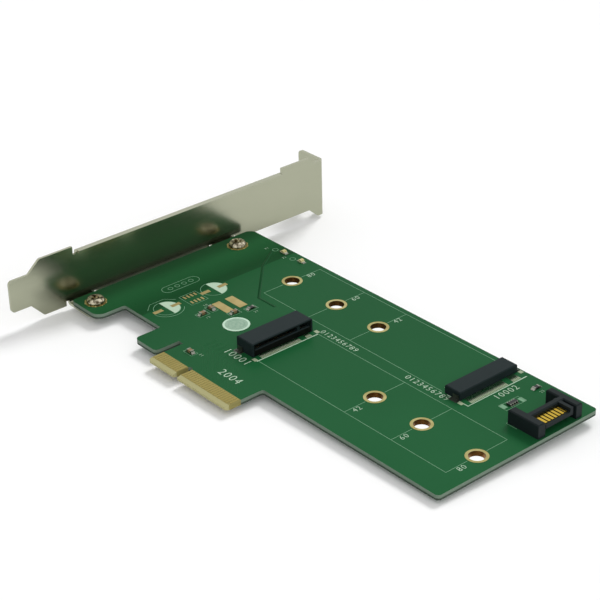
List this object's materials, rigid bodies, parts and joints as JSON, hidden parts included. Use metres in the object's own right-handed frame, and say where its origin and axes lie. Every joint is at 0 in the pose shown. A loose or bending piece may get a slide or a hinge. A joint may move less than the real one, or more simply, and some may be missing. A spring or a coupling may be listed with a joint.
{
  "type": "pci expansion card",
  "caption": "Half-height circuit board on a full-height steel slot bracket, with an edge connector, flat module sockets, standoff holes and a serial data header.",
  "frame": {"origin": "on the key notch's centre line, 0.9 mm inside the end edge of the contact tab, halfway through the board's thickness", "axes": "+X along the board away from the bracket, +Y from the edge contacts to the far long edge, +Z out of the component side"},
  "size_m": [0.1574, 0.12, 0.0216],
  "materials": {
    "board_mask": "green solder mask on glass laminate",
    "gold": "gold plating",
    "bracket_steel": "zinc plated, satin",
    "screw_steel": "nickel plated",
    "socket_plastic": "moulded, satin",
    "header_plastic": "moulded, satin",
    "tin": "bright tin",
    "capacitor_ceramic": "fired ceramic",
    "resistor_glaze": "dark glaze",
    "lamp_base": "pale laminate",
    "lamp_lens": "clear epoxy",
    "label_paper": "coated paper"
  },
  "bodies": {
    "root": {"circuit_board": "board_mask", "edge_contacts_top": "gold", "edge_contacts_bottom": "gold", "bracket": "bracket_steel", "bracket_screws": "screw_steel", "screw_lands": "gold", "hole_linings_a": "gold", "hole_linings_b": "gold", "socket_a_housing": "socket_plastic", "socket_a_upper_contacts": "gold", "socket_a_lower_contacts": "gold", "socket_a_hold_downs": "tin", "socket_b_housing": "socket_plastic", "socket_b_upper_contacts": "gold", "socket_b_lower_contacts": "gold", "socket_b_hold_downs": "tin", "data_header_housing": "header_plastic", "data_header_contacts": "gold", "capacitor_bodies": "capacitor_ceramic", "capacitor_ends": "tin", "resistor_bodies": "resistor_glaze", "resistor_ends": "tin", "lamp_bases": "lamp_base", "lamp_lenses": "lamp_lens", "resistor_array_body": "resistor_glaze", "resistor_array_terminals": "tin", "chip_lands": "tin", "bare_lands": "gold", "round_label": "label_paper"}
  },
  "joints": []
}
